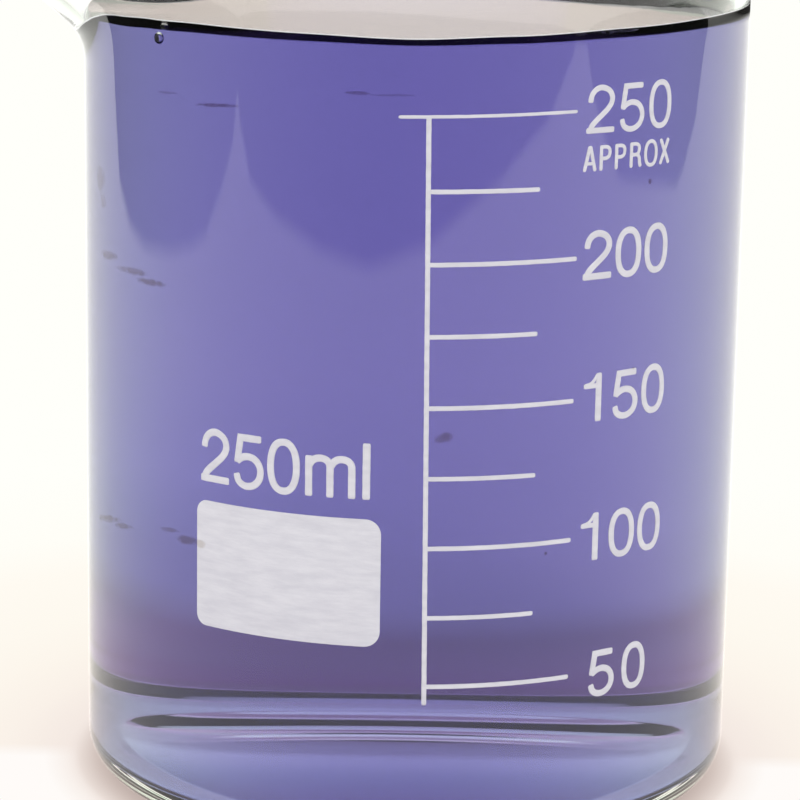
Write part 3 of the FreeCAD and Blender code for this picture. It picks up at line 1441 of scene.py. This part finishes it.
BOWL = ((0.08, 0.925), (0.30, 0.925), (0.30, 0.925), (0.41, 0.89), (0.475, 0.80), (0.48, 0.68))
GLYPHS = {
    "0": Glyph((Mark(((0.317, 0.487), (0.250, 0.448)), ring=True),)),
    "1": Glyph((
        Mark(((0.33, 0.0), (0.33, 1.0)), 1.05),
        Mark(((0.0, 0.745), (0.30, 0.745)), 0.76),
        Mark(((0.02, 0.765), (0.12, 0.78), (0.20, 0.83), (0.262, 0.91), (0.297, 0.985)), 0.5),
    )),
    "2": Glyph((
        Mark((
            (0.082, 0.634), (0.093, 0.735), (0.13, 0.825), (0.20, 0.897), (0.305, 0.934),
            (0.420, 0.912), (0.520, 0.840), (0.567, 0.724), (0.547, 0.605), (0.473, 0.495),
            (0.341, 0.372), (0.197, 0.245), (0.118, 0.155), (0.082, 0.066), (0.076, 0.004),
        )),
        Mark(((0.0, 0.066), (0.63, 0.066))),
    )),
    "5": Glyph((
        Mark((
            (0.573, 0.922), (0.145, 0.922), (0.145, 0.922), (0.080, 0.452),
        )),
        Mark((
            (0.072, 0.470), (0.145, 0.535), (0.235, 0.577), (0.325, 0.583), (0.425, 0.556),
            (0.508, 0.485), (0.556, 0.372), (0.552, 0.245), (0.497, 0.135), (0.400, 0.060),
            (0.287, 0.036), (0.180, 0.062), (0.103, 0.130), (0.066, 0.258),
        )),
    )),
    "m": Glyph((
        Mark(((0.072, 0.0), (0.072, 0.745))),
        Mark((
            (0.085, 0.560), (0.125, 0.640), (0.205, 0.697), (0.305, 0.708), (0.400, 0.680),
            (0.455, 0.605), (0.466, 0.500), (0.466, 0.500), (0.466, 0.0),
        )),
        Mark((
            (0.480, 0.560), (0.520, 0.640), (0.600, 0.697), (0.700, 0.708), (0.795, 0.680),
            (0.850, 0.605), (0.861, 0.500), (0.861, 0.500), (0.861, 0.0),
        )),
    )),
    "l": Glyph((Mark(((0.075, 0.0), (0.075, 1.03)), 1.05),)),
    "A": Glyph((
        Mark(((0.07, 0.0), (0.31, 1.0))),
        Mark(((0.565, 0.0), (0.325, 1.0))),
        Mark(((0.14, 0.31), (0.50, 0.31)), 0.9),
    )),
    "P": Glyph((
        Mark(((0.08, 0.0), (0.08, 1.0))),
        Mark((*BOWL, (0.43, 0.54), (0.30, 0.475), (0.30, 0.475), (0.08, 0.475)), 0.95),
    )),
    "R": Glyph((
        Mark(((0.08, 0.0), (0.08, 1.0))),
        Mark((*BOWL, (0.43, 0.555), (0.32, 0.505), (0.32, 0.505), (0.08, 0.505)), 0.95),
        Mark(((0.33, 0.50), (0.44, 0.455), (0.49, 0.35), (0.51, 0.20), (0.565, 0.0))),
    )),
    "O": Glyph((Mark(((0.365, 0.495), (0.295, 0.465)), ring=True),)),
    "X": Glyph((
        Mark(((0.05, 0.0), (0.52, 1.0))),
        Mark(((0.555, 0.0), (0.06, 1.0))),
    )),
}


@dataclass(frozen=True)
class Label:
    """A printed word or number. Places are arcs along the wall, from the front towards +X."""

    name: str
    text: str
    lefts: tuple[float, ...]
    base: float
    height: float
    pen: float
    stretch: float = 1.0


LABELS = (
    Label("numerals_250", "250", (17.30, 21.16, 24.96), 74.20, 4.80, 0.57, 1.09),
    Label("word_approx", "APPROX", (17.02, 18.93, 20.76, 22.64, 24.55, 26.68), 70.50, 2.53, 0.38),
    Label("numerals_200", "200", (17.38, 21.18, 25.00), 59.72, 4.92, 0.68, 1.09),
    Label("numerals_150", "150", (17.88, 21.38, 25.20), 45.30, 4.94, 0.68, 1.09),
    Label("numerals_100", "100", (18.00, 21.42, 25.28), 30.92, 4.96, 0.68, 1.09),
    Label("numerals_50", "50", (19.42, 23.70), 16.52, 4.84, 0.68, 1.09),
    Label("volume_250_ml", "250ml", (-22.38, -18.36, -14.50, -10.46, -4.64), 38.18, 5.56, 0.75),
)


def signed_power(value: float, power: float) -> float:
    """A power of a number's size, with the number's sign."""
    return math.copysign(abs(value) ** power, value)


@dataclass(frozen=True)
class Pen:
    """Lays enamel on the wall in lines of one width, each a closed body with rounded edges."""

    film: float = 0.08
    sink: float = 0.01
    across: int = 6
    spacing: float = 0.16
    crown: float = 1.6
    sharpest: float = 0.35
    ring_tube: float = 0.25
    ring_crown: float = 0.5
    underside: float = 0.1
    ring_steps: int = 72
    ring_sides: int = 12
    ring_power: float = 2.3
    end_radius: float = 0.09
    edge: float = 0.07
    wobble: float = 0.018
    wobble_scale: float = 1.3
    layer: float = 0.002

    def wrap(self, along: float, height: float, proud: float) -> Vector:
        """A point on the wall.

        Args:
            along: Arc along the wall, from the front towards +X, in millimetres.
            height: Height, in millimetres.
            proud: How far the point stands off the glass, in millimetres.

        Returns:
            The point, in millimetres.
        """
        turn = along / WALL.body_radius
        radius = WALL.body_radius + proud
        return Vector((radius * math.sin(turn), -radius * math.cos(turn), height))

    def waver(self, place: Vector, seed: float) -> float:
        """A small unevenness of the printed edge at a place."""
        return self.wobble * noise.noise(Vector((place.x, place.y, seed)) * self.wobble_scale)

    def proud(self, from_edge: float, layer: int) -> float:
        """How thick the enamel lies at a distance from its edge."""
        share = min(1.0, max(0.0, from_edge) / self.edge)
        return (self.film + layer * self.layer) * math.sqrt(share * (2 - share))

    def sides(self, line: list[Vector]) -> list[Vector]:
        """Sideways direction of the pen at each place, longer where the line turns a corner."""
        result = []
        for index, place in enumerate(line):
            came = place - line[index - 1] if index else line[1] - place
            goes = line[index + 1] - place if index + 1 < len(line) else came
            came, goes = came.normalized(), goes.normalized()
            middle = (came + goes).normalized()
            result.append(Vector((-middle.y, middle.x)) / max(self.sharpest, middle.dot(came)))
        return result

    def line(self, name: str, line: list[Vector], width: float, layer: int) -> bpy.types.Object:
        """Lay an open line.

        Args:
            name: Name of the new piece.
            line: Places of the pen, as arc and height in millimetres.
            width: Width of the line.
            layer: Which of the lines of one mark this is, so that two never share a surface.

        Returns:
            The new piece.
        """
        deselect()
        bpy.ops.mesh.primitive_grid_add(
            x_subdivisions=len(line) - 1, y_subdivisions=self.across, size=1.0, location=(0, 0, 0)
        )
        piece = bpy.context.object
        piece.name = name
        bpy.ops.object.mode_set(mode="EDIT")
        bpy.ops.mesh.select_all(action="SELECT")
        bpy.ops.mesh.extrude_region_move(TRANSFORM_OT_translate={"value": (0, 0, -1)})
        bpy.ops.mesh.select_all(action="SELECT")
        bpy.ops.mesh.normals_make_consistent(inside=False)
        bpy.ops.object.mode_set(mode="OBJECT")
        sides = self.sides(line)
        gone = [0.0]
        for start, end in zip(line, line[1:]):
            gone.append(gone[-1] + (end - start).length)
        for vertex in piece.data.vertices:
            index = round((vertex.co.x + 0.5) * (len(line) - 1))
            share = 2.0 * vertex.co.y
            from_end = min(gone[index], gone[-1] - gone[index])
            rounding = max(0.0, self.end_radius - from_end)
            narrowed = self.end_radius - math.sqrt(self.end_radius ** 2 - rounding ** 2)
            half = width / 2 - narrowed + self.waver(line[index], share)
            eased = math.copysign(1 - (1 - abs(share)) ** self.crown, share)
            place = line[index] + sides[index] * half * eased
            edge = min(half * (1 - abs(eased)), from_end)
            proud = self.proud(edge, layer) if vertex.co.z > -0.5 else -self.sink
            vertex.co = self.wrap(place.x, place.y, proud) * MM
        return piece

    def ring(self, name: str, middle: Vector, half: Vector, width: float) -> bpy.types.Object:
        """Lay a closed ring, with sides straighter than those of an ellipse.

        Args:
            name: Name of the new piece.
            middle: Its middle, as arc and height in millimetres.
            half: Half its width and half its height, to the middle of the line.
            width: Width of the line.

        Returns:
            The new piece.
        """
        deselect()
        bpy.ops.mesh.primitive_torus_add(
            major_segments=self.ring_steps, minor_segments=self.ring_sides,
            major_radius=1.0, minor_radius=self.ring_tube, location=(0, 0, 0),
        )
        piece = bpy.context.object
        piece.name = name
        power = 2.0 / self.ring_power
        for vertex in piece.data.vertices:
            turn = math.atan2(vertex.co.y, vertex.co.x)
            roll = math.atan2(vertex.co.z, math.hypot(vertex.co.x, vertex.co.y) - 1.0)
            way = Vector((
                signed_power(math.cos(turn), power) * half.x,
                signed_power(math.sin(turn), power) * half.y,
            ))
            lean = Vector((
                half.y * signed_power(math.cos(turn), 2 - power),
                half.x * signed_power(math.sin(turn), 2 - power),
            )).normalized()
            share = signed_power(math.cos(roll), self.ring_crown)
            reach = width / 2 + self.waver(middle + way, share)
            place = middle + way + lean * reach * share
            edge = reach * (1 - abs(share))
            proud = self.proud(edge, 0) if math.sin(roll) > self.underside else -self.sink
            vertex.co = self.wrap(place.x, place.y, proud) * MM
        return piece

    def write(self, label: Label) -> bpy.types.Object:
        """Write a word or number on the wall.

        Args:
            label: What to write, and where.

        Returns:
            The finished print.
        """
        parts = []
        for letter, left in zip(label.text, label.lefts):
            for layer, mark in enumerate(GLYPHS[letter].marks):
                scale = Vector((label.height * label.stretch, label.height))
                corner = Vector((left, label.base))
                width = label.pen * mark.width
                name = f"{label.name}_{len(parts)}"
                if mark.ring:
                    middle, half = (Vector(pair) * scale for pair in mark.points)
                    parts.append(self.ring(name, corner + middle, half, width))
                    continue
                points = tuple(tuple(corner + Vector(point) * scale) for point in mark.points)
                line = pen_curve(points, self.spacing)
                parts.append(self.line(name, line, width, layer))
        return join(label.name, parts)


def join(name: str, parts: list[bpy.types.Object]) -> bpy.types.Object:
    """Make one piece of several.

    Args:
        name: Name of the finished piece.
        parts: The pieces that it takes in.

    Returns:
        The finished piece.
    """
    deselect()
    for part in parts:
        part.select_set(True)
    bpy.context.view_layer.objects.active = parts[0]
    if len(parts) > 1:
        bpy.ops.object.join()
    return name_new(name)


@dataclass(frozen=True)
class ScaleLine:
    """One straight line of the scale, from start to end, as arc and height."""

    start: Pair
    end: Pair
    width: float = 0.5


SCALE_LINES = (
    ScaleLine((1.83, 17.10), (1.32, 76.40), 0.50),
    ScaleLine((-1.60, 76.22), (16.30, 76.50), 0.33),
    ScaleLine((1.45, 69.00), (12.47, 69.06), 0.46),
    ScaleLine((1.50, 61.84), (16.65, 61.98), 0.47),
    ScaleLine((1.55, 54.70), (12.58, 54.76), 0.47),
    ScaleLine((1.60, 47.56), (16.74, 47.66), 0.48),
    ScaleLine((1.65, 40.44), (12.74, 40.46), 0.47),
    ScaleLine((1.70, 33.32), (16.86, 33.38), 0.48),
    ScaleLine((1.76, 26.17), (12.82, 26.20), 0.47),
    ScaleLine((1.80, 19.03), (17.00, 19.06), 0.48),
)


@dataclass(frozen=True)
class WritingPatch:
    """The white field for notes: a thin film with rounded corners.

    The corners are given from the right one at the top, over the left, to the right below.
    """

    left: float = -22.88
    right: float = -2.68
    low: float = 23.05
    high: float = 36.20
    corners: tuple[float, ...] = (1.6, 1.3, 1.2, 1.6)
    corner_steps: int = 10
    spacing: float = 0.4
    film: float = 0.08
    rim: float = 0.07
    rim_steps: int = 3
    up: float = 0.9


@dataclass(frozen=True)
class Print:
    """All that is printed on the glass in white enamel."""

    pen: Pen = Pen()
    patch: WritingPatch = WritingPatch()

    def scale(self, finish: bpy.types.Material) -> bpy.types.Object:
        """Draw the lines of the scale."""
        parts = []
        for layer, line in enumerate(SCALE_LINES):
            places = pen_curve((line.start, line.end), self.pen.spacing)
            name = f"scale_line_{layer}"
            parts.append(self.pen.line(name, places, line.width, min(layer, 1)))
        piece = join("scale_lines", parts)
        smooth(piece)
        mount_piece(piece, Slot.ENAMEL, finish)
        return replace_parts(piece, "graduation_scale")

    def field(self, finish: bpy.types.Material) -> bpy.types.Object:
        """Lay the white field: a plate with rounded corners, cut in strips and bent round."""
        patch = self.patch
        deselect()
        bpy.ops.mesh.primitive_plane_add(size=1.0, location=(0, 0, 0))
        piece = name_new("writing_patch")
        middle = Vector(((patch.left + patch.right) / 2, (patch.low + patch.high) / 2, 0))
        size = Vector((patch.right - patch.left, patch.high - patch.low, 1))
        bpy.ops.object.mode_set(mode="EDIT")
        bpy.ops.transform.resize(value=size)
        bpy.ops.transform.translate(value=middle)
        sides = ((1, 1), (-1, 1), (-1, -1), (1, -1))
        for (across, up), radius in zip(sides, patch.corners):
            corner = Vector((
                patch.right if across > 0 else patch.left, patch.high if up > 0 else patch.low
            ))
            self.select_near(piece, corner)
            bpy.ops.mesh.bevel(
                offset=radius, segments=patch.corner_steps, affect="VERTICES", clamp_overlap=False
            )
        bpy.ops.mesh.select_all(action="SELECT")
        bpy.ops.mesh.extrude_region_move(TRANSFORM_OT_translate={"value": (0, 0, patch.film)})
        bpy.ops.mesh.select_all(action="SELECT")
        bpy.ops.mesh.normals_make_consistent(inside=False)
        self.round_rim(piece)
        cuts = math.ceil(size.x / patch.spacing)
        for cut in range(1, cuts):
            bpy.ops.mesh.select_all(action="SELECT")
            place = patch.left + size.x * cut / cuts
            bpy.ops.mesh.bisect(plane_co=(place, 0, 0), plane_no=(1, 0, 0))
        bpy.ops.object.mode_set(mode="OBJECT")
        for vertex in piece.data.vertices:
            proud = vertex.co.z if vertex.co.z > 0 else -self.pen.sink
            vertex.co = self.pen.wrap(vertex.co.x, vertex.co.y, proud) * MM
        smooth(piece)
        mount_piece(piece, Slot.ENAMEL, finish)
        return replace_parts(piece, "marking_patch")

    @staticmethod
    def select_near(piece: bpy.types.Object, corner: Vector) -> None:
        """Select the one vertex at a corner of a flat plate.

        Args:
            piece: The plate, in edit mode.
            corner: Where the vertex is.
        """
        bpy.ops.mesh.select_all(action="DESELECT")
        bpy.ops.object.mode_set(mode="OBJECT")
        nearest = min(piece.data.vertices, key=lambda vertex: (vertex.co.xy - corner).length)
        nearest.select = True
        bpy.ops.object.mode_set(mode="EDIT")
        bpy.ops.mesh.select_mode(type="VERT")

    def round_rim(self, piece: bpy.types.Object) -> None:
        """Round the upper rim of the plate.

        Args:
            piece: The plate, in edit mode.
        """
        bpy.ops.mesh.select_all(action="DESELECT")
        bpy.ops.object.mode_set(mode="OBJECT")
        patch = self.patch
        for polygon in piece.data.polygons:
            polygon.select = polygon.normal.z > patch.up and polygon.center.z > patch.film / 2
        bpy.ops.object.mode_set(mode="EDIT")
        bpy.ops.mesh.select_mode(type="FACE")
        bpy.ops.mesh.region_to_loop()
        bpy.ops.mesh.bevel(offset=patch.rim, segments=patch.rim_steps, affect="EDGES")

    def build(self) -> None:
        """Print the scale, the field and the words."""
        finish = FiredEnamel().material()
        self.scale(finish)
        self.field(finish)
        for label in LABELS:
            piece = self.pen.write(label)
            smooth(piece)
            mount_piece(piece, Slot.ENAMEL, finish)


# Studio


@dataclass
class PhotoCamera:
    """The camera, where the photograph was taken from."""

    focal_px: float = 3258.0
    frame_px: float = 800.0
    sensor_mm: float = 36.0
    place_mm: tuple[float, float, float] = (0.0, -344.4, 122.0)
    yaw: float = math.radians(0.19)
    pitch: float = math.radians(13.38)
    roll: float = math.radians(0.91)
    near: float = 0.01

    def build(self) -> bpy.types.Object:
        """Set up the camera.

        Returns:
            The camera.
        """
        ahead = Vector((
            -math.sin(self.yaw) * math.cos(self.pitch),
            math.cos(self.yaw) * math.cos(self.pitch),
            -math.sin(self.pitch),
        ))
        level_right = ahead.cross(Vector((0, 0, 1))).normalized()
        level_up = level_right.cross(ahead)
        right = level_right * math.cos(self.roll) + level_up * math.sin(self.roll)
        up = level_up * math.cos(self.roll) - level_right * math.sin(self.roll)
        deselect()
        bpy.ops.object.camera_add()
        camera = bpy.context.object
        camera.name = "photo_camera"
        camera.data.sensor_width = self.sensor_mm
        camera.data.lens = self.focal_px / self.frame_px * self.sensor_mm
        camera.data.clip_start = self.near
        turn = Matrix((right, up, -ahead)).transposed().to_4x4()
        turn.translation = Vector(self.place_mm) * MM
        camera.matrix_world = turn
        bpy.context.scene.camera = camera
        return camera


@dataclass
class Studio:
    """White table and white surroundings."""

    table_size: float = 3.0
    table_gap: float = 0.00003

    def table(self) -> bpy.types.Object:
        """Lay the table just under the beaker."""
        deselect()
        bpy.ops.mesh.primitive_plane_add(size=self.table_size, location=(0, 0, 0))
        table = bpy.context.object
        table.name = "table"
        for vertex in table.data.vertices:
            vertex.co.z = -self.table_gap
        table.data.materials.append(TableTop().material())
        return table

    def surroundings(self) -> None:
        """Set the world: white, and as bright as the tent's back wall to glass and liquid."""
        world = bpy.data.worlds.new("studio")
        bpy.context.scene.world = world
        world.use_nodes = True
        wiring = Wiring(world.node_tree)
        path = wiring.add("ShaderNodeLightPath")
        light = wiring.mix(
            path.outputs["Is Transmission Ray"], WHITE, Tent().wall(wiring)
        )
        background = world.node_tree.nodes["Background"]
        wiring.feed(background.inputs["Color"], light)
        wiring.feed(background.inputs["Strength"], 1.0)

    def build(self) -> None:
        """Set up the studio."""
        bpy.context.scene.view_settings.view_transform = "Standard"
        self.table()
        self.surroundings()


def main() -> None:
    """Build the beaker and its studio."""
    logging.basicConfig(level=logging.INFO, format="%(name)s: %(message)s")
    PhotoCamera().build()
    Studio().build()
    glass = BlownGlass()
    line = ContactLine.of(glass.meniscus, glass.lathe.columns)
    LOG.info("contact line: %.2f to %.2f mm", min(line.heights), max(line.heights))
    glass.build(line)
    Filling().build(line)
    AirBubble().build()
    Print().build()


if __name__ == "__main__":
    main()
